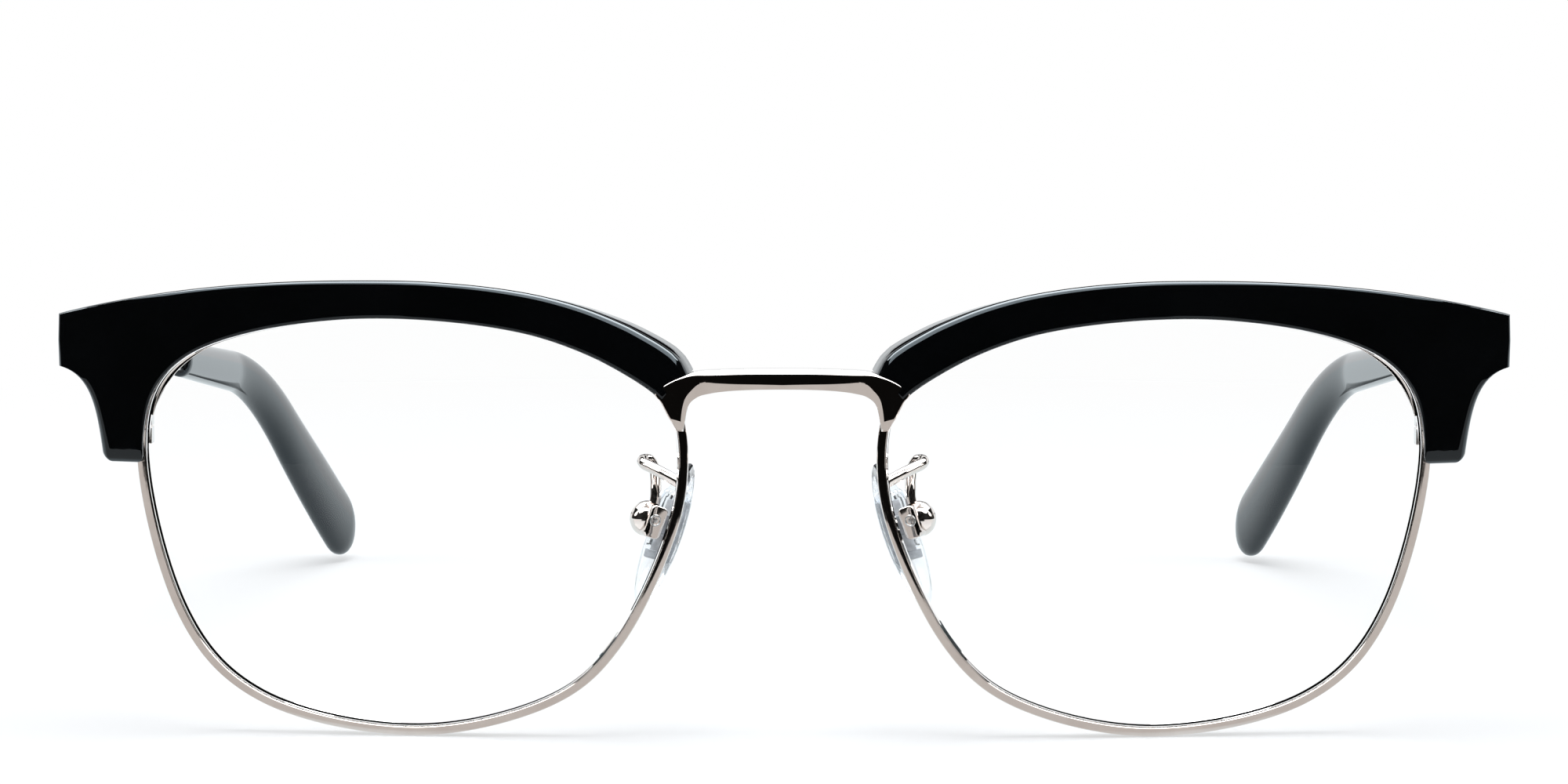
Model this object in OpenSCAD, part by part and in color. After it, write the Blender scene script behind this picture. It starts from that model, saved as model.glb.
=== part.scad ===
// Browline glasses: acetate brows screwed to a slim metal front, adjustable nose pads
// and folding combination temples. Millimetres. The front faces -Y, the temples run to +Y,
// +X is the wearer's left. The open glasses stand on the two rims and the two temple tips.
// Every piece is drawn for the +X side and mirrored for the other.

/* [Rims] */
// Width of one eyewire, outside
rim_w = 53.4; // [49:0.2:57]
// Height of one eyewire, outside
rim_h = 41.3; // [38:0.2:45]
// Gap between the two eyewires over the nose
nose_gap = 18; // [16:0.5:22]
// Thickness of the eyewire seen from the front
wire_t = 0.9; // [0.8:0.05:1.1]
// Depth of the eyewire from front to back
wire_d = 2.3; // [2.2:0.1:2.8]
// Depth of the groove that holds the lens
groove_d = 0.4; // [0.3:0.05:0.5]
// Width of the groove that holds the lens
groove_w = 0.8; // [0.6:0.1:1]
// Radius of the ball that lens and front follow
base_r = 130; // [120:5:180]
// Turn of each lens, nose side forward
wrap = 5; // [3:0.5:6]

/* [Lenses] */
// Thickness of a lens
lens_t = 2; // [1.6:0.1:2.1]
// Clearance of the lens in its groove
lens_gap = 0.04; // [0.03:0.01:0.08]

/* [Brows] */
// Height of the brow above the eye opening
brow_h = 3.5; // [3.1:0.1:4.5]
// How far the brow stands in front of the eyewire
brow_proud = 1.3; // [1:0.1:1.6]
// How far the lug reaches past the eyewire
lug_l = 7.8; // [7.4:0.1:9]
// Drop of the lug's top corner below the brow's crest
lug_drop = 3.7; // [3:0.1:4.5]
// Height of the lug's end face
lug_h = 5; // [4.8:0.1:5.6]
// How far the leg hangs below the lug
leg_l = 9.1; // [8.6:0.1:10.5]
// Width of the leg at its foot
leg_w = 3.9; // [3.6:0.1:4.6]
// Radius of the leg's outer foot corner
foot_r = 1.2; // [0.8:0.1:1.4]
// Clearance of the brow round the eyewire
brow_gap = 0.04; // [0.03:0.01:0.08]
// Thickness of the tab behind the rim for the brow's nose screw
tab_t = 0.8; // [0.6:0.1:1]
// Radius of the two screws that hold a brow
brow_screw_r = 0.42; // [0.38:0.02:0.46]
// Depth of those screws in the brow
brow_screw_l = 2; // [1.6:0.1:2.4]

/* [Bridge] */
// Height of the bridge bar
bar_h = 2.1; // [1.7:0.1:2.6]
// Depth of the bridge bar
bar_d = 2.5; // [2:0.1:3]
// Height of the bar's middle above the table
bar_z = 34.3; // [33.6:0.1:35]
// Thickness of the soldered corner plates
gusset_t = 2; // [1.6:0.1:2.4]
// Thickness of a solder joint
solder = 0.02; // [0.01:0.01:0.04]

/* [Rim locks] */
// Height of one half of the closing block
lock_h = 1.65; // [1.5:0.05:2]
// Radius of the closing block's barrel
lock_r = 1.25; // [1.15:0.05:1.4]
// Height of the split above the foot of the leg
lock_up = 3.2; // [2.8:0.1:3.6]
// Width of the split through eyewire and closing block
split_w = 0.1; // [0.06:0.02:0.2]
// Radius of the closing screw
lock_screw_r = 0.5; // [0.45:0.05:0.55]

/* [End pieces and hinges] */
// Thickness of the end piece behind the brow
plate_t = 1.4; // [1.2:0.1:1.8]
// Inset of the end piece from the lug's end face
arm_in = 1; // [0.8:0.1:1.4]
// Thickness of the end piece's arm and of the temple bar
arm_t = 1.5; // [1.3:0.1:1.7]
// Height of the end piece's arm
arm_h = 3.6; // [3.4:0.1:4]
// Distance of the hinge axis behind the middle of the lenses
hinge_y = 15; // [14.6:0.2:17]
// Radius of the hinge barrels
barrel_r = 1.1; // [1:0.05:1.2]
// Height of the three hinge barrels together
barrel_h = 4.4; // [4:0.1:4.8]
// Radius of the hinge screw
pin_r = 0.6; // [0.5:0.05:0.65]
// Thickness of the hinge leaves
leaf_t = 0.8; // [0.7:0.05:0.9]
// Reach of the temple's hinge leaf behind the axis
leaf_l = 5; // [4:0.2:6]
// Running clearance of the hinge
run_gap = 0.05; // [0.03:0.01:0.08]
// Gap between the end piece and the open temple
stop_gap = 0.05; // [0.03:0.01:0.1]

/* [Temples] */
// Length of a temple along its middle, from the hinge to the tip
temple_l = 137; // [132:1:145]
// Length of the straight part of a temple
shaft_l = 91; // [87:1:95]
// Radius of the bend over the ear
bend_r = 36; // [30:1:40]
// Angle of the bend over the ear
bend_a = 34.4; // [32:0.2:38]
// How far a temple closes in along its straight part
shaft_toe = 3.2; // [2.4:0.2:3.6]
// How far the tip closes in further behind the bend
tip_toe = 8.6; // [7:0.2:9.6]
// Height of the bare metal bar
core_h = 2.8; // [2.6:0.1:3.4]
// Length of the bare metal bar
core_l = 60; // [56:1:66]
// Height of the acetate tip where it starts
tip_h0 = 3.9; // [3.7:0.1:4.4]
// Height of the acetate tip at the bend
tip_h1 = 4.7; // [4.4:0.1:5.2]
// Height of the acetate tip near its end
tip_h2 = 9; // [8:0.2:9.6]
// Thickness of the acetate tip where it starts
tip_t0 = 2.6; // [2.4:0.1:3]
// Thickness of the acetate tip near its end
tip_t1 = 3.5; // [3.2:0.1:3.8]
// Height of the metal core inside the acetate
tang_h = 1.8; // [1.4:0.1:2.2]
// Thickness of the metal core inside the acetate
tang_t = 0.9; // [0.7:0.1:1.2]

/* [Nose pads] */
// Length of a nose pad
pad_l = 14.6; // [13:0.2:15]
// Width of a nose pad
pad_w = 7.6; // [7:0.2:8.2]
// Thickness of a nose pad
pad_t = 1.9; // [1.8:0.1:2.2]
// Angle of a pad seen from the front
pad_front = 22; // [18:1:26]
// Splay of a pad seen from above
pad_splay = 25; // [20:1:30]
// Distance from the pad's middle to its rocking axis
pad_reach = 2.6; // [2.5:0.1:3]
// Width of the pad box along the screw
box_w = 3.2; // [3:0.1:3.6]
// Radius of the pad box round the screw
box_r = 1.6; // [1.5:0.1:1.8]
// Thickness of the pad's boss in its box
boss_t = 1.4; // [1.2:0.1:1.6]
// Radius of the pad screw
pad_screw_r = 0.45; // [0.4:0.05:0.5]
// Radius of the wire of the pad arm
arm_r = 0.55; // [0.5:0.05:0.65]

/* [Hidden] */
$fn = 64;
fine = 240;
// Running fit of the small screws, room round them, and the gap of a seat on a curved face
screw_fit = 0.03;
screw_room = 0.08;
seat = 0.04;
head_r = 0.9;
metal = "#b9b2ac";
acetate = "#0b0e11";

// The eyewire's outer line: corner points of a closed spline, as shares of half its width
// and half its height, from the temple side round the bottom and the nose to the top
rim_shape = [[1, 0.36], [0.86, -0.43], [0.56, -0.85], [0.01, -1], [-0.49, -0.865],
    [-0.77, -0.555], [-0.975, 0.03], [-0.985, 0.49], [-0.845, 0.71], [-0.395, 0.945],
    [0.255, 0.99], [0.83, 0.8]];
rim_cx = (nose_gap + rim_w) / 2;
rim_cz = rim_h / 2;
corners = len(rim_shape);
steps = 7;

function corner(i) = let (p = rim_shape[(i + corners) % corners])
    [rim_cx + p[0] * rim_w / 2, rim_cz + p[1] * rim_h / 2];
// A point on the outer line, u corners along it
function rim_pt(u) = let (i = floor(u), t = u - i,
        a = corner(i - 1), b = corner(i), c = corner(i + 1), d = corner(i + 2))
    (2 * b + (c - a) * t + (2 * a - 5 * b + 4 * c - d) * t ^ 2
        + (3 * b - a - 3 * c + d) * t ^ 3) / 2;
// The same point moved outward by a distance
function rim_off(u, out) = let (e = 0.01, d = rim_pt(u + e) - rim_pt(u - e))
    rim_pt(u) + out / norm(d) * [-d[1], d[0]];
function rim_line(out) = [for (k = [0:corners * steps - 1]) rim_off(k / steps, out)];
function bezier(a, b, c, d, n) = [for (k = [0:n]) let (t = k / n)
    a * (1 - t) ^ 3 + b * 3 * t * (1 - t) ^ 2 + c * 3 * t ^ 2 * (1 - t) + d * t ^ 3];
function arc(centre, r, from, to, n) = [for (k = [0:n]) let (a = from + (to - from) * k / n)
    centre + r * [cos(a), sin(a)]];

// The ball that the front follows, and how far behind Y = 0 it lies
ball = [rim_cx - base_r * sin(wrap), base_r * cos(wrap), rim_cz];
function front_y(x, z, back = 0) =
    ball[1] - sqrt((base_r - back) ^ 2 - (x - ball[0]) ^ 2 - (z - ball[2]) ^ 2);

// Key heights and places of the brow, its lug and its leg
rim_x1 = rim_cx + rim_w / 2;
end_x = rim_x1 + lug_l;
crest_z = rim_h - wire_t + brow_h;
lug_z1 = crest_z - lug_drop;
lug_z0 = lug_z1 - lug_h;
foot_z = lug_z0 - leg_l;
foot_x = rim_x1 - wire_t + leg_w;
brow_u0 = 7.53;
crest_u = 9.7;
crest_x = rim_pt(crest_u)[0];
brow_back = wire_d;

// Key places of the hinge
arm_x1 = end_x - arm_in;
arm_x0 = arm_x1 - arm_t;
hinge_x = arm_x0 - barrel_r - 0.1;
hinge_z = lug_z1 - lug_h / 2 - 0.3;
lock_z = foot_z + lock_up;
lock_x = rim_x1 + 0.3;
lock_y = front_y(lock_x, lock_z, wire_d) + lock_r;

// The middle line of a temple: s runs along it, and it leans down until the tip touches
// the table
bend_l = bend_r * bend_a * PI / 180;
tip_r = tip_h2 / 2;
function run(s) = s < shaft_l ? s : s < shaft_l + bend_l ? shaft_l + bend_r * sin(turn(s))
    : shaft_l + bend_r * sin(bend_a) + (s - shaft_l - bend_l) * cos(bend_a);
function fall(s) = s < shaft_l ? 0 : s < shaft_l + bend_l ? bend_r * (1 - cos(turn(s)))
    : bend_r * (1 - cos(bend_a)) + (s - shaft_l - bend_l) * sin(bend_a);
function turn(s) = max(0, min(bend_a, (s - shaft_l) / bend_r * 180 / PI));
round_s = temple_l - tip_r;
lean = asin((hinge_z - tip_r) / norm([run(round_s), fall(round_s)]))
    - atan2(fall(round_s), run(round_s));
function toe(s) = shaft_toe * s / shaft_l
    + tip_toe * max(0, (s - shaft_l) / (temple_l - shaft_l)) ^ 1.3;
temple_x = arm_x1 - arm_t / 2;
function spine(s) = [temple_x - toe(s),
    hinge_y + run(s) * cos(lean) - fall(s) * sin(lean),
    hinge_z - run(s) * sin(lean) - fall(s) * cos(lean)];
// A ring of points round the middle line, t thick and h high
function ring(s, t, h, outline) = let (a = lean + turn(s), m = spine(s))
    [for (p = outline) m + [p[0] * t / 2, p[1] * h / 2 * sin(a), p[1] * h / 2 * cos(a)]];
// A bar's section: an ellipse that grows squarer as the power falls from 1
function section(power) = [for (k = [0:13]) let (a = (k + 0.5) * 360 / 14)
    [sign(cos(a)) * abs(cos(a)) ^ power, sign(sin(a)) * abs(sin(a)) ^ power]];
flat_bar = section(0.3);
soft_bar = section(0.7);
function ease(t) = t * t * (3 - 2 * t);
function tip_h(s) = s < shaft_l ? tip_h0 + (tip_h1 - tip_h0) * (s - core_l) / (shaft_l - core_l)
    : tip_h1 + (tip_h2 - tip_h1) * ease(min(1, (s - shaft_l) / (round_s - shaft_l)));
function tip_t(s) = tip_t0 + (tip_t1 - tip_t0) * ease(min(1, (s - core_l) / (round_s - core_l)));
// How much of its full size the rounded end still has, e before the end
function end_size(e) = e >= tip_r ? 1 : sqrt(1 - (1 - e / tip_r) ^ 2);
tip_stations = concat([for (k = [0:4]) core_l + stop_gap + (shaft_l - core_l) * k / 5],
    [for (k = [0:8]) shaft_l + (round_s - shaft_l) * k / 8],
    [for (k = [0.65, 0.36, 0.14, 0.02]) temple_l - tip_r * k]);
tip_rings = [for (s = tip_stations) let (k = end_size(temple_l - s))
    ring(s, tip_t(s) * min(1, k + 0.12), tip_h(s) * k, soft_bar)];
tang_end = temple_l - tip_h2;
tang_stations = concat([core_l], [for (k = [0:6]) shaft_l + (tang_end - shaft_l) * k / 6]);
tang_room = 0.1;
hollow_rings = [for (k = [len(tang_stations) - 1:-1:0]) let (s = tang_stations[k])
    ring(max(s + (k > 6 ? tang_room : 0), core_l + stop_gap),
        tang_t + tang_room, tang_h + tang_room, soft_bar)];

// The whole part is centred from front to back over its place on the table
back_y = max([for (r = tip_rings) for (p = r) p[1]]);
brow_y = min([for (p = brow_line()) front_y(p[0], p[1], -brow_proud)]);
mid_y = (back_y + brow_y) / 2;

// Where a pad rocks, and the wire that carries it: from the rim's back out to its loop,
// round it and down to the pad box
pad_at = [nose_gap / 2 + 4, 6, 20.6];
pad_up = [-sin(pad_front) * cos(pad_splay), sin(pad_front) * sin(pad_splay), cos(pad_front)];
pad_back = [sin(pad_splay), cos(pad_splay), 0];
arm_root = rim_off(6.27, -wire_t / 2);
arm_start = [arm_root[0], front_y(arm_root[0], arm_root[1], wire_d), arm_root[1]];
arm_end = pad_at + pad_up * box_r + pad_back * 0.5;
arm_path = [arm_start, arm_start + [1.6, 2.4, 0.5], arm_start + [3.3, 4.6, 0.9],
    arm_start + [4, 6, 0.8], arm_start + [3.4, 7, 0.3], arm_end + [-0.5, 2.2, 2],
    arm_end + [-0.25, 0.9, 1.1], arm_end];
// A smooth curve through a list of points, t points along it
function through(path, t) = let (n = len(path) - 1, i = min(floor(t), n - 1), f = t - i,
        b = path[i], c = path[i + 1], a = i > 0 ? path[i - 1] : 2 * b - c,
        d = i < n - 1 ? path[i + 2] : 2 * c - b)
    (2 * b + (c - a) * f + (2 * a - 5 * b + 4 * c - d) * f ^ 2
        + (3 * b - a - 3 * c + d) * f ^ 3) / 2;
function unit(v) = v / norm(v);
// Rings round such a curve, square to it; side is never in line with it
function tube(path, r, per, side, count) = [for (k = [0:(len(path) - 1) * per])
    let (t = k / per, e = 0.02, m = through(path, t),
        along = unit(through(path, min(t + e, len(path) - 1)) - through(path, max(t - e, 0))),
        n1 = unit(cross(side, along)), n2 = cross(n1, along))
    [for (j = [0:count - 1]) let (a = 360 * j / count) m + r * (n1 * cos(a) + n2 * sin(a))]];

module placed(side) {
    mirror([side < 0 ? 1 : 0, 0, 0]) translate([0, -mid_y, 0]) children();
}
// A front outline made solid from y0 back to y1
module slab(outline, y0 = -8, y1 = 24) {
    translate([0, y1, 0]) rotate([90, 0, 0]) linear_extrude(y1 - y0) polygon(outline);
}
// All that lies behind the front's ball, moved back by a distance
module behind(back, faces = fine) {
    translate(ball) sphere(base_r - back, $fn = faces);
}
module layer(front, back) {
    difference() {
        behind(front);
        behind(back);
    }
}
// A closed skin over a list of rings with equal counts of points
module sweep(rings) {
    n = len(rings[0]);
    m = len(rings);
    polyhedron([for (r = rings) for (p = r) p],
        concat([[for (k = [n - 1:-1:0]) k]], [[for (k = [0:n - 1]) (m - 1) * n + k]],
            [for (i = [0:m - 2]) for (k = [0:n - 1]) let (a = i * n + k, b = i * n + (k + 1) % n)
                each [[a, b, b + n], [a, b + n, a + n]]]));
}
module upright(x, y, z, r, h) {
    translate([x, y, z]) cylinder(h = h, r = r);
}
// The pad's own frame: X away from the nose, Y back along the screw, Z up the pad
module at_pad() {
    translate(pad_at) rotate([0, 0, -pad_splay]) rotate([0, -pad_front, 0]) children();
}

module eyewire() {
    color(metal) difference() {
        intersection() {
            difference() {
                slab(rim_line(0));
                slab(rim_line(-wire_t), -9, 25);
            }
            layer(0, wire_d);
        }
        intersection() {
            slab(rim_line(groove_d - wire_t));
            layer((wire_d - groove_w) / 2, (wire_d + groove_w) / 2);
        }
        translate([rim_x1 - 3, 0, lock_z - split_w / 2]) cube([5, 20, split_w]);
    }
}

module lens() {
    bevel = groove_w / 2 - lens_gap;
    color("#dfe9ee") union() {
        intersection() {
            slab(rim_line(-wire_t - lens_gap));
            layer((wire_d - lens_t) / 2, (wire_d + lens_t) / 2);
        }
        intersection() {
            slab(rim_line(groove_d - wire_t - lens_gap));
            layer(wire_d / 2 - bevel, wire_d / 2 + bevel);
        }
    }
}

// The brow seen from the front: along the eye opening, round the leg's foot, up to the
// lug's end face and back along the top
function brow_line() = let (
        inner = [for (k = [0:34]) let (p = rim_off(brow_u0 + k / 7, 0.1 - wire_t))
            if (p[0] < rim_cx || p[1] > foot_z + 0.7) p],
        inner_x = inner[len(inner) - 1][0],
        bend = [foot_x - 0.05, foot_z + foot_r],
        lug = [end_x - 0.1, lug_z0])
    concat(inner,
        arc([inner_x + 0.65, foot_z + 0.6], 0.6, 180, 270, 4),
        arc([foot_x - 0.05 - foot_r, foot_z + foot_r], foot_r, 270, 360, 5),
        bezier(bend, bend + [0.6, 4], lug - [3.2, 0.8], lug, 10),
        [[end_x, (lug_z0 + lug_z1) / 2]],
        [for (k = [10:-1:1]) let (t = k / 10) [crest_x + (end_x - 0.05 - crest_x) * t,
            crest_z - lug_drop * t ^ 2]],
        [for (k = [0:15]) rim_off(crest_u - (crest_u - brow_u0) * k / 15, brow_h - wire_t)]);

// Both brow screws go in from behind, square to the front: one beside the nose through the
// tab, one through the end piece
nose_screw = rim_off(8.3, (brow_h - wire_t) / 2);
lug_screw = [rim_x1 + 3.6, lug_z1 - lug_h / 2 + 0.3];
// The place behind a point of the front, Z running back from there
module on_front(p, back) {
    in = unit(ball - [p[0], front_y(p[0], p[1]), p[1]]);
    translate(ball - in * (base_r - back)) rotate([0, acos(in[2]), atan2(in[1], in[0])])
        children();
}
module screw_hole(p, room, deep) {
    on_front(p, brow_back - deep) cylinder(h = deep + 4, r = brow_screw_r + room);
}

module brow() {
    color(acetate) difference() {
        intersection() {
            slab(brow_line());
            layer(-brow_proud, brow_back);
        }
        intersection() {
            slab(rim_line(brow_gap), -7, 23);
            behind(-brow_gap);
        }
        screw_hole(nose_screw, screw_fit, brow_screw_l + 0.2);
        screw_hole(lug_screw, screw_fit, brow_screw_l + 0.2);
    }
}

module brow_screw(p, plate) {
    on_front(p, brow_back - brow_screw_l) {
        cylinder(h = brow_screw_l + plate + 0.1, r = brow_screw_r);
        translate([0, 0, brow_screw_l + plate + seat]) cylinder(h = 0.5, r = head_r);
    }
}
module brow_screws() {
    color(metal) {
        brow_screw(nose_screw, tab_t);
        brow_screw(lug_screw, plate_t);
    }
}

// The bridge: an arched bar between two corner plates that run down the rims' fronts
bar_x = nose_gap / 2 - 0.5;
gusset_line = [rim_off(6.87, 0.05), rim_off(6.87, -wire_t), rim_off(7.1, -wire_t),
    rim_off(brow_u0 - 0.28, -wire_t - 0.1), rim_off(brow_u0 - 0.02, 0.1 - wire_t),
    rim_off(brow_u0 - 0.02, brow_h - wire_t), [bar_x - 0.6, bar_z + bar_h / 2 - 0.3],
    [bar_x - 0.6, bar_z - bar_h / 2], [bar_x + 0.35, bar_z - bar_h / 2 - 0.8],
    [bar_x + 0.8, bar_z - bar_h / 2 - 2]];
function bar_ring(x) = let (t = x / bar_x, z = bar_z - 0.35 * t ^ 2, c = 0.5,
        h = bar_h / 2, y0 = -0.5, y1 = y0 + bar_d)
    [for (p = [[y0 + c, h], [y1 - c, h], [y1, h - c], [y1, c - h], [y1 - c, -h], [y0 + c, -h],
        [y0, c - h], [y0, h - c]]) [x, p[0], z + p[1]]];
module bridge_corner() {
    difference() {
        translate([0, -0.4, 0]) slab(gusset_line, 0, gusset_t);
        intersection() {
            slab(rim_line(solder));
            behind(-solder);
        }
    }
}
// The tab behind the rim that takes the brow's nose screw
module brow_tab() {
    reach = brow_h - 1.2;
    color(metal) difference() {
        intersection() {
            slab([rim_off(7.3, 0), rim_off(7.4, 1.2 - wire_t), rim_off(7.9, reach),
                rim_off(8.7, reach), rim_off(8.7, -0.6), rim_off(8.1, -0.6),
                rim_off(7.3, -0.6)]);
            layer(brow_back + solder, brow_back + tab_t);
        }
        screw_hole(nose_screw, screw_room, 1);
    }
}
module bridge() {
    color(metal) {
        translate([0, -mid_y, 0]) sweep([for (k = [-6:6]) bar_ring(k / 6 * (bar_x - 0.5))]);
        placed(1) bridge_corner();
        placed(-1) bridge_corner();
    }
}

module rim_lock(z) {
    intersection() {
        union() {
            upright(lock_x, lock_y, z, lock_r, lock_h);
            translate([lock_x - lock_r, lock_y - 4, z]) cube([2 * lock_r, 4, lock_h]);
        }
        behind(wire_d + solder, fine * 2);
    }
}
module rim_lock_upper() {
    color(metal) difference() {
        rim_lock(lock_z + split_w / 2);
        upright(lock_x, lock_y, lock_z, lock_screw_r + 0.02, lock_h - 0.3);
    }
}
module rim_lock_lower() {
    low = lock_z - split_w / 2 - lock_h;
    color(metal) difference() {
        rim_lock(low);
        upright(lock_x, lock_y, low - 1, lock_screw_r + 0.04, lock_h + 2);
        upright(lock_x, lock_y, low - 1, 0.9, 1.55);
    }
}
module rim_lock_screw() {
    low = lock_z - split_w / 2 - lock_h;
    color(metal) {
        upright(lock_x, lock_y, low, 0.85, 0.5);
        upright(lock_x, lock_y, low, lock_screw_r, lock_h * 2 - 0.5);
    }
}

module end_piece() {
    top = hinge_z + arm_h / 2;
    low = hinge_z - arm_h / 2;
    foot = lock_z + split_w / 2 + lock_h + solder;
    color(metal) union() {
        difference() {
            intersection() {
                slab([[lock_x - lock_r, foot], [lock_x + lock_r, foot],
                    [lock_x + lock_r + 1, low - 1.2], [arm_x0 + 0.3, low], [arm_x1, low],
                    [arm_x1, top], [rim_x1 + 1, top + 0.3], rim_off(11.3, 0),
                    rim_off(11.4, -0.8), rim_off(11.6, -0.8)]);
                layer(brow_back + solder, brow_back + plate_t);
            }
            screw_hole(lug_screw, screw_room, 1);
        }
        intersection() {
            translate([arm_x0, 5, low]) cube([arm_t, hinge_y - stop_gap - 5, arm_h]);
            behind(brow_back + solder);
        }
    }
}

// Three barrels on one screw: the outer two belong to the front, the middle one to the temple
third = barrel_h / 3;
leaf_z = hinge_z - barrel_h / 2;
module leaf(y0, y1, z0, z1) {
    translate([arm_x0 - leaf_t - solder, y0, z0]) cube([leaf_t, y1 - y0, z1 - z0]);
}
module front_hinge() {
    plate_back = front_y(arm_x0, leaf_z + barrel_h, brow_back + plate_t) + solder;
    color(metal) difference() {
        union() {
            for (z = [leaf_z, leaf_z + 2 * third + run_gap]) {
                upright(hinge_x, hinge_y, z, barrel_r, third - run_gap);
                leaf(plate_back, hinge_y, z, z + third - run_gap);
            }
            leaf(plate_back, hinge_y - barrel_r - 0.15, leaf_z, leaf_z + barrel_h);
        }
        upright(hinge_x, hinge_y, leaf_z - 1, pin_r + run_gap, barrel_h + 2);
    }
}
module hinge_screw() {
    color(metal) {
        upright(hinge_x, hinge_y, leaf_z, pin_r, barrel_h + 0.05);
        upright(hinge_x, hinge_y, leaf_z + barrel_h + 0.03, 0.95, 0.5);
    }
}
module temple_hinge() {
    low = leaf_z + third;
    color(metal) difference() {
        union() {
            upright(hinge_x, hinge_y, low, barrel_r, third);
            translate([arm_x0, hinge_y, 0]) rotate([0, 0, atan(shaft_toe / shaft_l)])
                translate([-arm_x0, -hinge_y, 0]) {
                leaf(hinge_y + 0.1, hinge_y + 2.5, low, low + third);
                leaf(hinge_y + barrel_r + 0.15, hinge_y + leaf_l, hinge_z - 1.5, hinge_z + 1.2);
            }
        }
        upright(hinge_x, hinge_y, leaf_z, pin_r + run_gap, barrel_h);
    }
}

module temple_bar() {
    flare = 7;
    color(metal) difference() {
        sweep(concat([ring(-1, arm_t, arm_h, flat_bar), ring(flare, arm_t, arm_h, flat_bar),
                ring(flare * 2, tang_t + 0.3, core_h, flat_bar),
                ring(core_l, tang_t + 0.3, core_h, flat_bar)],
            [for (s = tang_stations) ring(s, tang_t, tang_h, soft_bar)]));
        translate([arm_x0 - 1, hinge_y - 5, hinge_z - 5]) cube([4, 5, 10]);
    }
}
module temple_tip() {
    color(acetate) sweep(concat(hollow_rings, tip_rings));
}

// The arm's wire: its first ring is fitted to the rim's back, its last to the pad box
module pad_arm() {
    rings = tube(arm_path, arm_r, 3, [-0.6, 0.2, 0.75], 12);
    last = len(rings) - 1;
    pad_out = cross(pad_back, pad_up);
    color(metal) sweep([for (i = [0:last]) [for (p = rings[i])
        i == 0 ? [p[0], front_y(p[0], p[2], wire_d) + seat, p[2]]
        : i == last ? p + pad_up * (sqrt((box_r + solder) ^ 2 - ((p - pad_at) * pad_out) ^ 2)
            - (p - pad_at) * pad_up) : p]]);
}
module pad_box() {
    slot = boss_t + 0.2;
    color(metal) difference() {
        at_pad() difference() {
            rotate([90, 0, 0]) cylinder(h = box_w, r = box_r, center = true);
            translate([-box_r - 4.3, -5, -5]) cube([5, 10, 10]);
            translate([-5, -slot / 2, -5]) cube([6, slot, 10]);
            rotate([90, 0, 0]) cylinder(h = 10, r = pad_screw_r + run_gap, center = true);
            translate([0, -box_w / 2 - 1, 0]) rotate([-90, 0, 0]) cylinder(h = 1.35, r = 0.85);
        }
    }
}
module pad_screw() {
    color(metal) at_pad() translate([0, -box_w / 2, 0]) rotate([-90, 0, 0]) {
        cylinder(h = box_w, r = pad_screw_r);
        cylinder(h = 0.33, r = 0.8);
    }
}
// The hard insert: a plate set in the pad's outer face, with the boss that rocks in the box
module pad_insert() {
    color("#c9ced2") at_pad() difference() {
        union() {
            rotate([90, 0, 0]) cylinder(h = boss_t, r = 0.95, center = true);
            translate([-pad_reach + 0.4, -boss_t / 2, -0.95])
                cube([pad_reach - 0.4, boss_t, 1.9]);
            translate([-pad_reach - 0.2, -1.9, -3.4]) cube([0.8, 3.8, 6]);
        }
        rotate([90, 0, 0]) cylinder(h = 10, r = pad_screw_r + run_gap, center = true);
    }
}
module nose_pad() {
    dome = 18;
    drop = 0.9;
    color("#e8eef2") at_pad() difference() {
        intersection() {
            translate([-pad_reach - 2, 0, -drop]) rotate([0, 90, 0]) linear_extrude(4)
                polygon([for (k = [0:35]) let (a = k * 10)
                    [pad_l / 2 * cos(a), pad_w / 2 * sin(a) * (1 + 0.06 * cos(a))]]);
            translate([-pad_reach + dome - pad_t / 2, 0, -drop]) sphere(dome, $fn = fine);
            translate([-pad_reach - dome + pad_t / 2, 0, -drop]) sphere(dome, $fn = fine);
        }
        translate([-pad_reach - 0.25, -1.95, -3.45]) cube([5, 3.9, 6.1]);
    }
}

bridge();
placed(1) brow_tab();  // left_brow_tab
placed(-1) brow_tab();  // right_brow_tab
placed(1) eyewire();  // left_eyewire
placed(-1) eyewire();  // right_eyewire
placed(1) lens();  // left_lens
placed(-1) lens();  // right_lens
placed(1) brow();  // left_brow
placed(-1) brow();  // right_brow
placed(1) brow_screws();  // left_brow_screws
placed(-1) brow_screws();  // right_brow_screws
placed(1) rim_lock_upper();  // left_rim_lock_upper
placed(-1) rim_lock_upper();  // right_rim_lock_upper
placed(1) rim_lock_lower();  // left_rim_lock_lower
placed(-1) rim_lock_lower();  // right_rim_lock_lower
placed(1) rim_lock_screw();  // left_rim_lock_screw
placed(-1) rim_lock_screw();  // right_rim_lock_screw
placed(1) end_piece();  // left_end_piece
placed(-1) end_piece();  // right_end_piece
placed(1) front_hinge();  // left_front_hinge
placed(-1) front_hinge();  // right_front_hinge
placed(1) hinge_screw();  // left_hinge_screw
placed(-1) hinge_screw();  // right_hinge_screw
placed(1) temple_hinge();  // left_temple_hinge
placed(-1) temple_hinge();  // right_temple_hinge
placed(1) temple_bar();  // left_temple_bar
placed(-1) temple_bar();  // right_temple_bar
placed(1) temple_tip();  // left_temple_tip
placed(-1) temple_tip();  // right_temple_tip
placed(1) pad_arm();  // left_pad_arm
placed(-1) pad_arm();  // right_pad_arm
placed(1) pad_box();  // left_pad_box
placed(-1) pad_box();  // right_pad_box
placed(1) pad_screw();  // left_pad_screw
placed(-1) pad_screw();  // right_pad_screw
placed(1) pad_insert();  // left_pad_insert
placed(-1) pad_insert();  // right_pad_insert
placed(1) nose_pad();  // left_nose_pad
placed(-1) nose_pad();  // right_nose_pad
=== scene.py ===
import bpy
import bmesh
from math import sin, cos, asin, atan2, sqrt, radians, degrees, pi
from mathutils import Vector, Matrix, Euler


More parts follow.
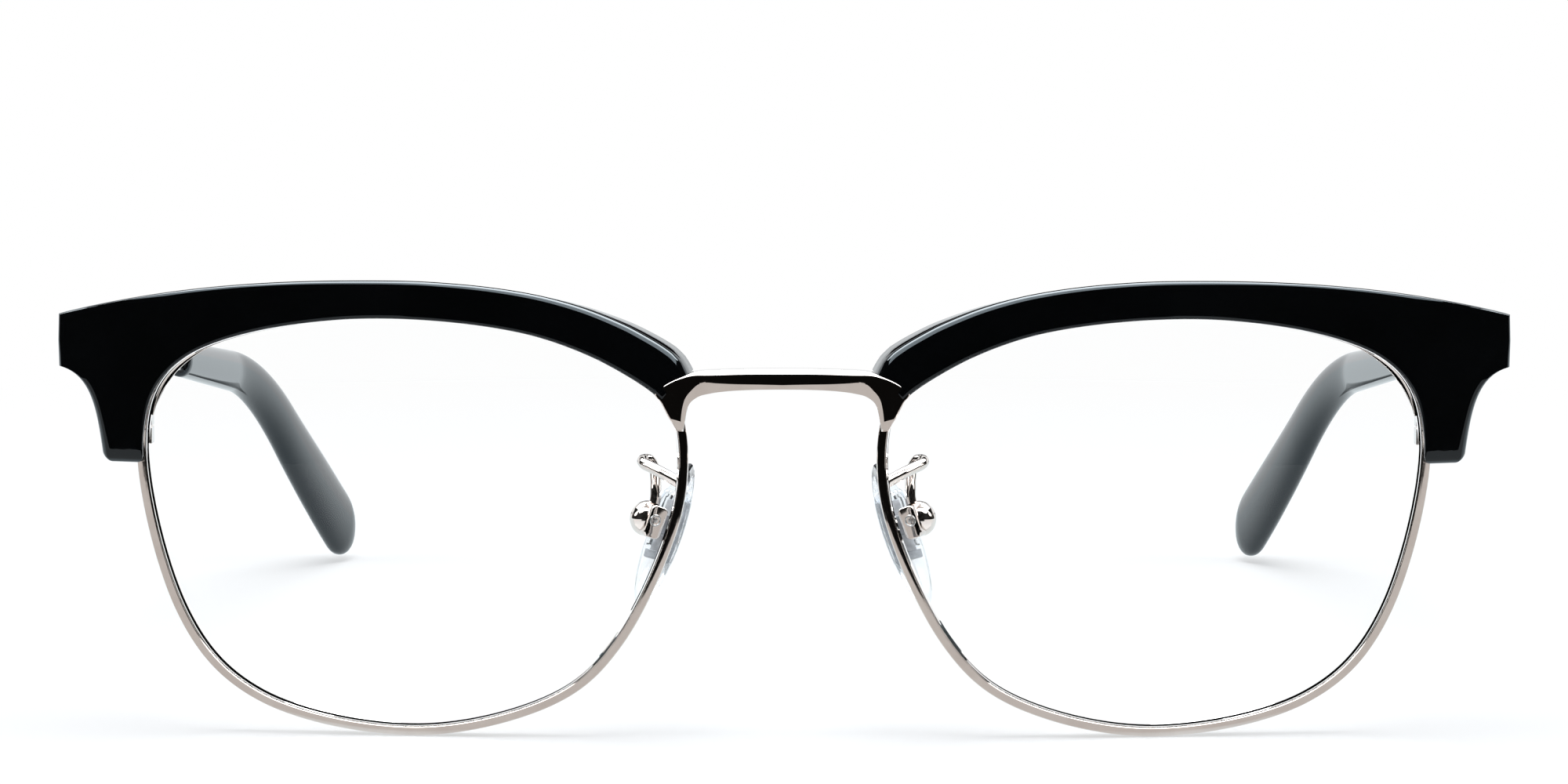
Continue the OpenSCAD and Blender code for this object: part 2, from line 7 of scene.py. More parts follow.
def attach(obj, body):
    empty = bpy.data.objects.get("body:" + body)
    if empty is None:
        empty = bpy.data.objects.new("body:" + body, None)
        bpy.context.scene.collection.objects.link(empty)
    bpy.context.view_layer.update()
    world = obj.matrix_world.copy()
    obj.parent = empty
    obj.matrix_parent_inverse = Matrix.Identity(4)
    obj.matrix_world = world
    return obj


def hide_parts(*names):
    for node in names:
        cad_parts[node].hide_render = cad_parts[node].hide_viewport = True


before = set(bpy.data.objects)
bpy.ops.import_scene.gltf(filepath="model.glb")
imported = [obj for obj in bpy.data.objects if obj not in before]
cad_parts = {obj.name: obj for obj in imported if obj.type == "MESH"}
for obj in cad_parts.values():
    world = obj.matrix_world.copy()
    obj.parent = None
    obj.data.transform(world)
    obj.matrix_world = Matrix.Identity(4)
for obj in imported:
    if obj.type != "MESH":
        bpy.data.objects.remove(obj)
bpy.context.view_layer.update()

scene = bpy.context.scene
print("frame loaded:", len(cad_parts), "nodes")

# Everything below is worked out in millimetres, with the lenses' middle at Y = 0 and the
# table at Z = 0, for the wearer's left side, and is put into the frame at the end
place = {"midY": 71.7482, "scale": 0.001, "joinWithin": 1e-4, "bevelSegments": 3}

front = {
    "rimWidth": 53.4, "rimHeight": 41.3, "noseGap": 18.0,
    "ballRadius": 130.0, "wrap": 5.0,  # the lenses follow a ball, each turned a little
    "corners": [(1, .36), (.86, -.43), (.56, -.85), (.01, -1), (-.49, -.865), (-.77, -.555),
                (-.975, .03), (-.985, .49), (-.845, .71), (-.395, .945), (.255, .99), (.83, .8)],
}
rimCentre = Vector(((front["noseGap"] + front["rimWidth"]) / 2, front["rimHeight"] / 2))
ball = Vector((rimCentre.x - front["ballRadius"] * sin(radians(front["wrap"])),
               front["ballRadius"] * cos(radians(front["wrap"])), rimCentre.y))


def curvePoint(a, b, c, d, t):  # a smooth curve from b to c that heeds the points beside them
    return (2 * b + (c - a) * t + (2 * a - 5 * b + 4 * c - d) * t * t
            + (3 * b - a - 3 * c + d) * t ** 3) / 2


def rimPoint(u):  # a point on the eyewire's outer line, u corners along it
    corners = front["corners"]
    n = len(corners)
    i = int(u // 1)
    around = [Vector((rimCentre.x + corners[k % n][0] * front["rimWidth"] / 2,
                      rimCentre.y + corners[k % n][1] * front["rimHeight"] / 2))
              for k in (i - 1, i, i + 1, i + 2)]
    return curvePoint(*around, u - i)


def rimOff(u, out, near=.01):  # the same point moved outwards
    d = (rimPoint(u + near) - rimPoint(u - near)).normalized()
    return rimPoint(u) + out * Vector((-d.y, d.x))


def frontY(x, z, back=0.0):  # how far behind Y = 0 the ball lies, at a depth behind its face
    r = front["ballRadius"] - back
    return ball.y - sqrt(r * r - (x - ball.x) ** 2 - (z - ball.z) ** 2)


def onBall(p, back, tilt=0.0):  # a point of the front at a depth, leaning to the ball's middle
    y = frontY(p[0], p[1], back)
    lean = tilt * back / front["ballRadius"]
    return Vector((p[0] + (ball.x - p[0]) * lean, y, p[1] + (ball.z - p[1]) * lean))


def mix(a, b, t):
    return a + (b - a) * t


def ease(t):
    t = max(0.0, min(1.0, t))
    return t * t * (3 - 2 * t)


def spline(points, t):  # a smooth curve through points, t points along it
    n = len(points) - 1
    i = max(0, min(int(t // 1), n - 1))
    p = [Vector(q) for q in points]
    b, c = p[i], p[i + 1]
    a = p[i - 1] if i > 0 else 2 * b - c
    d = p[i + 2] if i < n - 1 else 2 * c - b
    return curvePoint(a, b, c, d, t - i)


def table(rows, x):  # a value read from rows of (place, value), straight between them
    if x <= rows[0][0]:
        return rows[0][1]
    for (x0, v0), (x1, v1) in zip(rows, rows[1:]):
        if x <= x1:
            return v0 + (v1 - v0) * (x - x0) / (x1 - x0)
    return rows[-1][1]


def closeAndTurn(bm):  # doubles merged, openings filled, faces outwards
    bmesh.ops.remove_doubles(bm, verts=bm.verts, dist=place["joinWithin"])
    bmesh.ops.holes_fill(bm, edges=[e for e in bm.edges if e.is_boundary], sides=0)
    bmesh.ops.recalc_face_normals(bm, faces=bm.faces)


def loft(rings, closedRing=True, closedPath=False):  # a grid bent over rings of points
    m, n = len(rings), len(rings[0])
    wide = n + 1 if closedRing else n
    long = m + 1 if closedPath else m
    bm = bmesh.new()
    grid = bmesh.ops.create_grid(bm, x_segments=wide - 1, y_segments=long - 1, size=1)["verts"]
    for k, v in enumerate(grid):
        v.co = rings[(k // wide) % m][(k % wide) % n]
    closeAndTurn(bm)
    return bm


def makePiece(bm, name, node, body, material, slotName, side=1, sharp=32, bevel=0):
    if side < 0:
        bm.transform(Matrix.Diagonal((-1, 1, 1, 1)))
        bmesh.ops.reverse_faces(bm, faces=bm.faces)
    bm.transform(Matrix.Scale(place["scale"], 4) @ Matrix.Translation((0, -place["midY"], 0)))
    for f in bm.faces:
        f.smooth = True
    for e in bm.edges:
        e.smooth = len(e.link_faces) == 2 and e.calc_face_angle(0) < radians(sharp)
    mesh = bpy.data.meshes.new(name)
    bm.to_mesh(mesh)
    bm.free()
    mesh.materials.append(material)
    piece = bpy.data.objects.new(name, mesh)
    scene.collection.objects.link(piece)
    if bevel:
        m = piece.modifiers.new("softened edges", "BEVEL")
        m.width, m.segments = bevel * place["scale"], place["bevelSegments"]
        m.limit_method, m.angle_limit = "ANGLE", radians(sharp)
        m.harden_normals = True
    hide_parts(node)
    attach(piece, body)


def makePair(build, part, body, material, slotName, suffix="_finished", **more):  # left, right
    for side, sign in (("left", 1), ("right", -1)):
        makePiece(build(), side + "_" + part + suffix, side + "_" + part,
                  body if body == "front" else side + "_" + body, material, slotName,
                  side=sign, **more)


# Finishes

def newMaterial(name):
    material = bpy.data.materials.new(name)
    material.use_nodes = True
    tree = material.node_tree
    return material, tree, tree.nodes["Principled BSDF"], tree.nodes["Material Output"]


def grain(tree, scale, detail=3.0, stretch=(1, 1, 1)):  # noise on the piece's own coordinates
    where = tree.nodes.new("ShaderNodeTexCoord")
    turn = tree.nodes.new("ShaderNodeMapping")
    turn.inputs["Scale"].default_value = stretch
    noise = tree.nodes.new("ShaderNodeTexNoise")
    noise.inputs["Scale"].default_value = scale
    noise.inputs["Detail"].default_value = detail
    tree.links.new(where.outputs["Object"], turn.inputs["Vector"])
    tree.links.new(turn.outputs["Vector"], noise.inputs["Vector"])
    return noise.outputs["Fac"]


def spread(tree, value, low, high, start=0.3, end=0.7):  # start to end becomes low to high
    r = tree.nodes.new("ShaderNodeMapRange")
    r.inputs["From Min"].default_value = start
    r.inputs["From Max"].default_value = end
    r.inputs["To Min"].default_value = low
    r.inputs["To Max"].default_value = high
    tree.links.new(value, r.inputs["Value"])
    return r


def blendColours(tree, value, a, b, start=0.35, end=0.65):
    ramp = tree.nodes.new("ShaderNodeValToRGB")
    first, last = ramp.color_ramp.elements
    first.position, first.color = start, (*a, 1)
    last.position, last.color = end, (*b, 1)
    tree.links.new(value, ramp.inputs["Fac"])
    return ramp.outputs["Color"]


def bump(tree, shader, height, strength, distance):
    b = tree.nodes.new("ShaderNodeBump")
    b.inputs["Strength"].default_value = strength
    b.inputs["Distance"].default_value = distance
    tree.links.new(height, b.inputs["Height"])
    tree.links.new(b.outputs["Normal"], shader.inputs["Normal"])


def calculate(tree, operation, a, b, clamp=False):
    node = tree.nodes.new("ShaderNodeMath")
    node.operation, node.use_clamp = operation, clamp
    tree.links.new(a, node.inputs[0])
    tree.links.new(b, node.inputs[1])
    return node.outputs["Value"]


def mixShaders(tree, share, first, second):  # the share is a number or another node's value
    both = tree.nodes.new("ShaderNodeMixShader")
    if isinstance(share, float):
        both.inputs["Fac"].default_value = share
    else:
        tree.links.new(share, both.inputs["Fac"])
    tree.links.new(first, both.inputs[1])
    tree.links.new(second, both.inputs[2])
    return both.outputs["Shader"]


# A grain is a scale, a detail and a stretch, a wave the bump's strength and depth in metres
acetateLook = {
    "colour": (0.0010, 0.0012, 0.0014), "cloud": (0.0018, 0.0021, 0.0025), "cloudGrain": (90, 4),
    "browRoughness": (0.02, 0.05), "tipRoughness": (0.03, 0.06), "roughGrain": (700, 3),
    "wave": (0.003, 0.001), "waveGrain": (160, 2),
    "fixed": {"IOR": 1.55, "Specular Tint": (0.80, 0.92, 1.0, 1)},
}
metalLook = {
    "colour": (0.76, 0.695, 0.655), "cloud": (0.82, 0.76, 0.72), "cloudGrain": (300, 3),
    "roughness": (0.045, 0.10), "roughGrain": (1500, 4),
    "wave": (0.01, 0.0006), "waveGrain": (400, 2), "fixed": {"Metallic": 1.0},
}
steelLook = {
    "colour": (0.56, 0.55, 0.54), "cloud": (0.66, 0.655, 0.65), "cloudGrain": (900, 4),
    "roughness": (0.2, 0.34), "roughGrain": (3000, 3, (1, 1, 6)),
    "wave": (0.08, 0.0002), "waveGrain": (4000, 2, (1, 1, 8)), "fixed": {"Metallic": 1.0},
}
insertLook = {
    "colour": (0.30, 0.31, 0.33), "cloud": (0.44, 0.455, 0.48), "cloudGrain": (600, 5, (1, 1, 3)),
    "roughness": (0.3, 0.5), "roughGrain": (1200, 3),
    "wave": (0.15, 0.0002), "waveGrain": (1800, 3), "fixed": {},
}
lensLook = {"colour": (0.998, 1.0, 1.0), "ior": 1.5, "mirror": 0.006, "roughness": (0.0, 0.01),
            "smudgeGrain": (120, 4), "shadow": (0.975, 0.98, 0.985)}
siliconeLook = {"colour": (0.90, 0.945, 0.98), "ior": 1.41, "shine": 0.5,
                "roughness": (0.05, 0.16), "smudgeGrain": (120, 4), "shadow": (0.86, 0.90, 0.94)}


def solidMaterial(name, look, roughness):  # a clouded colour, an uneven shine, a slight wave
    material, tree, shader, out = newMaterial(name)
    cloud = grain(tree, *look["cloudGrain"])
    tree.links.new(blendColours(tree, cloud, look["colour"], look["cloud"]),
                   shader.inputs["Base Color"])
    rough = spread(tree, grain(tree, *look["roughGrain"]), *roughness)
    tree.links.new(rough.outputs["Result"], shader.inputs["Roughness"])
    for socket, value in look["fixed"].items():
        shader.inputs[socket].default_value = value
    bump(tree, shader, grain(tree, *look["waveGrain"]), *look["wave"])
    return material


def letLampsThrough(tree, surface, out, film):  # so that a clear piece's shadow stays faint
    clear = tree.nodes.new("ShaderNodeBsdfTransparent")
    clear.inputs["Color"].default_value = (*film, 1)
    path = tree.nodes.new("ShaderNodeLightPath")
    tree.links.new(mixShaders(tree, path.outputs["Is Shadow Ray"], surface, clear.outputs["BSDF"]),
                   out.inputs["Surface"])


def siliconeMaterial():
    look = siliconeLook
    material, tree, shader, out = newMaterial("clear silicone")
    shader.inputs["Base Color"].default_value = (*look["colour"], 1)
    shader.inputs["Transmission Weight"].default_value = 1.0
    shader.inputs["IOR"].default_value = look["ior"]
    shader.inputs["Specular IOR Level"].default_value = look["shine"]
    smudge = spread(tree, grain(tree, *look["smudgeGrain"]), *look["roughness"])
    tree.links.new(smudge.outputs["Result"], shader.inputs["Roughness"])
    letLampsThrough(tree, shader.outputs["BSDF"], out, look["shadow"])
    return material


def lensMaterial():  # a coated lens: bends the light, mirrors hardly any of it
    look = lensLook
    material, tree, shader, out = newMaterial("clear lens plastic")
    tree.nodes.remove(shader)
    through = tree.nodes.new("ShaderNodeBsdfRefraction")
    through.inputs["Color"].default_value = (*look["colour"], 1)
    through.inputs["IOR"].default_value = look["ior"]
    shine = tree.nodes.new("ShaderNodeBsdfGlossy")
    smudge = spread(tree, grain(tree, *look["smudgeGrain"]), *look["roughness"])
    tree.links.new(smudge.outputs["Result"], shine.inputs["Roughness"])
    surface = mixShaders(tree, look["mirror"], through.outputs["BSDF"], shine.outputs["BSDF"])
    letLampsThrough(tree, surface, out, look["shadow"])
    return material


acetate = solidMaterial("polished near-black acetate", acetateLook, acetateLook["browRoughness"])
tipAcetate = solidMaterial("near-black acetate of the tips", acetateLook,
                           acetateLook["tipRoughness"])
metal = solidMaterial("polished warm silver", metalLook, metalLook["roughness"])
steel = solidMaterial("turned steel", steelLook, steelLook["roughness"])
insertGrey = solidMaterial("grey hard plastic", insertLook, insertLook["roughness"])
lensClear = lensMaterial()
silicone = siliconeMaterial()
print("finishes ready")

# Eyewires and lenses

wire = {
    "thick": 0.9, "deep": 2.3, "groove": 0.4, "grooveWidth": 0.8, "grooveRound": .03,
    "faceLine": [(0, .2), (.03, .11), (.1, .042), (.27, .02)],  # in from the edge, behind the face
    "backLine": [(0, .15), (.04, .04), (.15, 0)],  # in from the edge, before the back
    "tilt": 0.6, "stations": 260, "split": 0.1, "splitHeight": 29.3,
}


def cornerAtHeight(height, out, low=11.2, high=13.0):  # where the temple side is that high
    for _ in range(40):
        middle = (low + high) / 2
        low, high = (middle, high) if rimOff(middle, out).y > height else (low, middle)
    return low


def eyewire():
    start = cornerAtHeight(wire["splitHeight"] - wire["split"] / 2, 0)
    end = cornerAtHeight(wire["splitHeight"] + wire["split"] / 2, 0) + len(front["corners"])
    t, d, g, r = wire["thick"], wire["deep"], wire["groove"], wire["grooveRound"]
    face, back, half = wire["faceLine"], wire["backLine"], wire["grooveWidth"] / 2
    section = [(a - t, b) for a, b in face] + [(-t / 2, 0)] + [(-a, b) for a, b in face[::-1]]
    section += [(-a, d - b) for a, b in back] + [(a - t, d - b) for a, b in back[::-1]]
    section += [(-t, d / 2 + half), (g - t, d / 2 + r), (g - t, d / 2 - r), (-t, d / 2 - half)]
    rings = []
    for k in range(wire["stations"]):
        u = mix(start, end, k / (wire["stations"] - 1))
        rings.append([onBall(rimOff(u, out), behind, wire["tilt"]) for out, behind in section])
    return loft(rings)


lens = {"thick": 2.0, "gap": 0.04, "seat": 0.03, "edgeRound": 0.1, "stations": 180,
        "shares": (0, .2, .4, .6, .8, .92, 1), "untilted": 10}


def lensShape():
    t, middle = wire["thick"] + lens["gap"], wire["deep"] / 2
    half, tip = lens["thick"] / 2, wire["grooveWidth"] / 2 - lens["gap"]
    seat, edgeRound = lens["seat"], lens["edgeRound"]
    rings = []
    for k in range(lens["stations"]):
        u = len(front["corners"]) * k / lens["stations"]
        edge, deep = rimOff(u, -t), rimOff(u, wire["groove"] - seat - t)
        rim = rimOff(u, -t - edgeRound)
        row = [(mix(rimCentre, rim, f), middle - half) for f in lens["shares"]]
        row += [(edge, middle - half + edgeRound), (edge, middle - tip), (deep, middle - seat),
                (deep, middle + seat), (edge, middle + tip), (edge, middle + half - edgeRound)]
        row += [(mix(rimCentre, rim, f), middle + half) for f in lens["shares"][::-1]]
        rings.append([
            onBall(p, back, wire["tilt"] * min(1, (p - rimCentre).length / lens["untilted"]))
            for p, back in row])
    return loft(rings, closedRing=False, closedPath=True)


makePair(eyewire, "eyewire", "front", metal, "polished_metal")
makePair(lensShape, "lens", "front", lensClear, "clear_lens", sharp=25)
print("eyewires and lenses in place")

# Brows: each table's first value is a place on the rim, in corners along it

brow = {
    "height": 3.49, "proud": 1.3, "back": 2.3, "gap": 0.04, "crown": 2.4,
    "heights": [(7.53, 3.1), (7.7, 3.6), (7.85, 3.85), (8.0, 3.92), (8.3, 3.95), (8.6, 3.83),
                (8.8, 3.7), (9.0, 3.6), (9.4, 3.51), (9.7, 3.49)],
    "overlaps": [(7.53, -.5), (8.0, -.33), (8.4, -.2), (9, -.2), (9.7, -.12), (10.4, -.02),
                 (11.2, -.08), (12.3, .1)],
    "noseEnd": 7.53, "crest": 9.7, "lugTop": 11.2, "lugLow": 11.45, "footEnd": 12.3,
    "noseRows": (0, .004, .012, .024, .045, .08),  # close rows for the rounded nose end
    "endX": 70.2, "lugDrop": 3.7, "lugHeight": 5.0, "lugRows": (.02, .25, .5, .75, .98, 1),
    "lugCorners": (.05, .1),  # how far its upper and lower corner stand back
    "lugPull": (-3.2, -.8), "footPull": (.6, 4),  # the curve from the lug down to the foot
    "footZ": 26.1, "footX": 65.7, "footRound": 1.2, "footInRound": .6, "footInTop": .7,
    "footIn": .65,
    "facetFront": [(7.53, .34), (8.2, .3), (9, .2), (9.7, .13), (11.1, .07), (11.2, .07),
                   (11.4, .2), (11.6, .26), (12.3, .3)],
    "facetTop": [(7.53, .22), (8.2, .22), (9, .2), (9.7, .17), (11.1, .12), (11.2, .12),
                 (11.4, .16), (12.3, .2)],
    "facetSlope": .72, "faceShares": (.12, .3, .5, .7, .88), "lowShare": .3, "lowFall": .9,
    "roundLow": [(7.53, .6), (8.2, .5), (9, .42), (10.5, .36), (11.3, .28), (12.3, .24)],
    "roundSteps": (0, 14, 28, 45, 62, 78, 90),
    "roundFoot": (1.0, .8), "roundNose": (.22, .2), "roundBack": .3,
    "flare": [(7.53, .5), (8.2, .25), (8.7, -.1), (9.1, -.38), (10.5, -.38), (11.2, -.1),
              (12.3, -.1)],
}


def browContours():  # places across the brow, from its nose end round to its foot
    b = brow
    crestZ = front["rimHeight"] - wire["thick"] + b["height"]
    crestX = rimPoint(b["crest"]).x
    rows = []

    def addRow(u, outer=None):  # its place along the rim, its two edges and its seat there
        inner = rimOff(u, table(b["overlaps"], u) - wire["thick"])
        top = outer or rimOff(u, table(b["heights"], u) - wire["thick"])
        rows.append((u, inner, top, rimOff(u, b["gap"])))

    for f in (*b["noseRows"], *(k / 48 for k in range(5, 49))):
        addRow(mix(b["noseEnd"], b["crest"], f))
    upper, lower = b["lugCorners"]
    for k in range(1, 41):
        t = k / 40
        addRow(mix(b["crest"], b["lugTop"], t),
               Vector((mix(crestX, b["endX"] - upper, t), crestZ - b["lugDrop"] * t ** b["crown"])))
    lugTop, lugLow = crestZ - b["lugDrop"], crestZ - b["lugDrop"] - b["lugHeight"]
    for t in b["lugRows"]:
        x = b["endX"] - (upper if t < .5 else lower) * abs(2 * t - 1)
        addRow(mix(b["lugTop"], b["lugLow"], t), Vector((x, mix(lugTop, lugLow, t))))
    footIn = cornerAtHeight(b["footZ"] + b["footInTop"], b["overlaps"][-1][1] - wire["thick"])
    bend = Vector((b["footX"], b["footZ"] + b["footRound"]))
    lug = Vector((b["endX"] - lower, lugLow))
    pull = (lug, lug + Vector(b["lugPull"]), bend + Vector(b["footPull"]), bend)
    for k in range(1, 33):
        t = k / 32
        outer = (pull[0] * (1 - t) ** 3 + pull[1] * 3 * t * (1 - t) ** 2
                 + pull[2] * 3 * t * t * (1 - t) + pull[3] * t ** 3)
        addRow(mix(b["lugLow"], footIn, t), outer)
    innerEnd = rows[-1][1]
    centreIn = Vector((innerEnd.x + b["footIn"], b["footZ"] + b["footInRound"]))
    centreOut = Vector((b["footX"] - b["footRound"], b["footZ"] + b["footRound"]))
    for k in range(1, 11):
        a = radians(9 * k)
        low = centreIn + b["footInRound"] * Vector((-cos(a), -sin(a)))
        out = centreOut + b["footRound"] * Vector((cos(a), -sin(a)))
        rows.append((b["footEnd"], low, out, rimOff(cornerAtHeight(low.y, b["gap"]), b["gap"])))
    return rows


def browShape():
    b = brow
    rows = browContours()
    noseA, noseB = rows[0][1], rows[0][2]
    noseLine = (noseB - noseA).normalized()
    noseIn = Vector((noseLine.y, -noseLine.x))
    if noseIn.dot(rows[8][1] - noseA) < 0:
        noseIn = -noseIn

    def drop(dist, wide, deep):  # how far a rounded edge has fallen away
        if dist >= wide:
            return 0.0
        f = 1 - max(0.0, dist) / wide
        return deep * (1 - sqrt(max(0.0, 1 - f * f)))

    rings = []
    for u, inner, outer, seat in rows:
        length = (outer - inner).length
        along = (outer - inner) / length
        w1, w2 = table(b["facetFront"], u), table(b["facetTop"], u)
        low = min(table(b["roundLow"], u), length * b["lowShare"])
        edge = length - w1 - w2
        fall1 = w1 * b["facetSlope"]
        across = [(low * (1 - cos(a)), low * b["lowFall"] * (1 - sin(a)))
                  for a in map(radians, b["roundSteps"])]
        across += [(mix(low, edge, f), 0) for f in b["faceShares"]]
        across += [(edge - .04, 0), (edge + .03, .03),  # the front facet starts
                   (edge + w1 * .6, w1 * .38), (edge + w1 - .03, w1 * .66),
                   (edge + w1 + .02, fall1 + .03),  # the top facet starts
                   (length - w2 * .5, fall1 + w2 * .9), (length - .03, fall1 + w2 * 1.7),
                   (length, fall1 + w2 * 2.2)]
        ring = []
        for t, fall in across:
            p = inner + along * t
            fall = max(fall, drop((p - noseA).dot(noseIn), *b["roundNose"]),
                       drop(p.y - b["footZ"], *b["roundFoot"]))
            ring.append(onBall(p, -b["proud"] + fall))
        r, flare = b["roundBack"], along * table(b["flare"], u)
        for a in (0, 30, 60, 90):
            s = r * (1 - cos(radians(a)))
            ring.append(onBall(outer + flare - along * s, b["back"] - r * (1 - sin(radians(a)))))
        ring += [onBall(mix(outer, seat, .5), b["back"]), onBall(seat, b["back"]),
                 onBall(seat, -b["gap"]), onBall(mix(seat, inner, .9), -b["gap"]),
                 onBall(inner, -b["gap"] - .1)]
        rings.append(ring)
    return loft(rings)


makePair(browShape, "brow", "front", acetate, "black_acetate", sharp=40)
print("brows in place")

# Bridge

bridge = {
    "front": -0.5, "back": 2.0, "frontCrown": 0.01, "backRound": 0.3, "stepsEach": 4,
    "bevelDeep": 0.32, "fullBevels": (.5, .4),  # a bevel narrower than that is shallower too
    "gussetFrom": 7, "gussetSlope": .4, "gussetDeep": 1.2,  # its back grows deeper at the rims
    "rows": [  # nose side X, Z; outer side X, Z; lower bevel; upper bevel; fall of the front
        (0, 33.61, 0, 35.57, .42, .49, 0), (2.3, 33.58, 2.3, 35.56, .5, .48, 0),
        (4.55, 33.49, 4.6, 35.51, .63, .47, 0), (6.2, 33.33, 6.4, 35.44, .88, .46, 0),
        (7.1, 33.17, 7.4, 35.39, 1.12, .42, 0), (7.8, 33.0, 8.4, 35.25, 1.1, .3, 0),
        (8.35, 32.7, 9.35, 34.9, .85, .15, 0), (8.75, 32.35, 10.78, 34.28, .66, .1, 0),
        (9.0, 31.9, 12.15, 33.3, .52, .12, 0), (9.15, 31.3, 11.66, 32.5, .48, .14, 0),
        (9.22, 30.9, 11.3, 31.8, .45, .16, 0), (9.27, 30.6, 11.0, 31.2, .42, .16, 0),
        (9.32, 30.35, 10.75, 30.75, .35, .15, .03), (9.36, 30.1, 10.5, 30.35, .25, .12, .2),
        (9.40, 29.8, 10.3, 29.95, .18, .1, .42), (9.42, 29.55, 10.15, 29.6, .15, .1, .68)],
}


def bridgeShape():
    b = bridge
    reach = b["stepsEach"] * (len(b["rows"]) - 1)
    columns = [[(value, 0) for value in column] for column in zip(*b["rows"])]
    rings = []
    for k in range(-reach, reach + 1):
        lowX, lowZ, highX, highZ, w0, w1, fall = [spline(column, abs(k) / b["stepsEach"])[0]
                                                  for column in columns]
        side = -1 if k < 0 else 1
        low, high = Vector((lowX * side, lowZ)), Vector((highX * side, highZ))
        length = (high - low).length
        along = (high - low) / length
        crown, r = b["frontCrown"], b["backRound"]
        deep0, deep1 = (b["bevelDeep"] * min(1, w / full)
                        for w, full in zip((w0, w1), b["fullBevels"]))
        back = b["back"] + min(b["gussetDeep"],
                               max(0.0, abs(low.x) - b["gussetFrom"]) * b["gussetSlope"])
        y0 = b["front"] + fall
        section = [(0, y0 + deep0), (w0, y0 + crown), (mix(w0, length - w1, .5), y0),
                   (length - w1, y0 + crown), (length, y0 + deep1),
                   (length, back - r), (length - r, back), (r, back), (0, back - r)]
        rings.append([Vector((low.x + along.x * t, y, low.y + along.y * t))
                      for t, y in section])
    return loft(rings)


makePiece(bridgeShape(), "bridge_finished", "bridge", "front", metal, "polished_metal",
          sharp=14, bevel=.07)
print("bridge in place")

# Temples: S runs along a temple from its hinge, and a section's power of 1 is an ellipse

temple = {
    "length": 136.8, "shaft": 91.0, "bendRadius": 36.0, "bend": 34.4, "shaftToe": 3.2,
    "tipToe": 8.6, "toeCurl": 1.3, "hinge": (66.5, 15.0, 37.4), "middle": 68.45,
    "coreLength": 55.4, "startHeight": 3.9, "bendHeight": 4.7, "endHeight": 9.7,
    "startThick": 2.6, "endThick": 3.5, "tipPower": .9,
    "capStart": 131.2, "capLong": 3.9, "capPower": .8,
    "mouth": ((.55, 0), (.8, .02), (.93, .12), (1, .35)),  # its rounded start: size, S
    "tangHeight": 1.8, "tangThick": .9, "tangPower": .7, "tangRoom": .1,  # the core in the tip
    "tangStep": .02, "tangEnd": .3, "tipGap": .05,
    "bar": [  # S, thick, high, power
        (0.0, 1.26, 3.36, .25), (.05, 1.44, 3.54, .25), (.2, 1.5, 3.6, .25), (5, 1.5, 3.6, .25),
        (7, 1.5, 3.6, .25), (9, 1.45, 3.45, .25), (12, 1.28, 3.0, .3), (14, 1.2, 2.8, .32),
        (30, 1.2, 2.8, .34), (50, 1.2, 2.8, .34), (59, 1.2, 2.8, .34), (55.4, 1.2, 2.8, .34)],
}
bendLength = temple["bendRadius"] * radians(temple["bend"])
tipRound = temple["endHeight"] / 2


def turnAt(s):
    past = degrees((s - temple["shaft"]) / temple["bendRadius"])
    return radians(max(0, min(temple["bend"], past)))


def runAndFall(s):
    r, a, sh = temple["bendRadius"], radians(temple["bend"]), temple["shaft"]
    if s < sh:
        return s, 0.0
    if s < sh + bendLength:
        return sh + r * sin(turnAt(s)), r * (1 - cos(turnAt(s)))
    rest = s - sh - bendLength
    return sh + r * sin(a) + rest * cos(a), r * (1 - cos(a)) + rest * sin(a)


roundStart = temple["length"] - tipRound
farRun, farFall = runAndFall(roundStart)
lean = asin((temple["hinge"][2] - tipRound) / sqrt(farRun ** 2 + farFall ** 2)) \
    - atan2(farFall, farRun)


def spine(s):
    run, fall = runAndFall(s)
    past = max(0, (s - temple["shaft"]) / (temple["length"] - temple["shaft"]))
    toe = temple["shaftToe"] * s / temple["shaft"] + temple["tipToe"] * past ** temple["toeCurl"]
    return Vector((temple["middle"] - toe,
                   temple["hinge"][1] + run * cos(lean) - fall * sin(lean),
                   temple["hinge"][2] - run * sin(lean) - fall * cos(lean)))


def sectionRing(s, thick, height, power, count=64):
    a, m = lean + turnAt(s), spine(s)
    ring = []
    for k in range(count):
        c, d = cos(2 * pi * (k + .5) / count), sin(2 * pi * (k + .5) / count)
        size = (abs(c) ** (2 / power) + abs(d) ** (2 / power)) ** (-power / 2)
        x, z = c * size * thick / 2, d * size * height / 2
        ring.append(m + Vector((x, z * sin(a), z * cos(a))))
    return ring


def tipHeight(s):
    t = temple
    if s < t["shaft"]:
        return mix(t["startHeight"], t["bendHeight"],
                   (s - t["coreLength"]) / (t["shaft"] - t["coreLength"]))
    return mix(t["bendHeight"], t["endHeight"],
               ease((s - t["shaft"]) / (roundStart - t["shaft"])))


def tipThick(s):
    t = temple
    return mix(t["startThick"], t["endThick"],
               ease((s - t["coreLength"]) / (roundStart - t["coreLength"])))


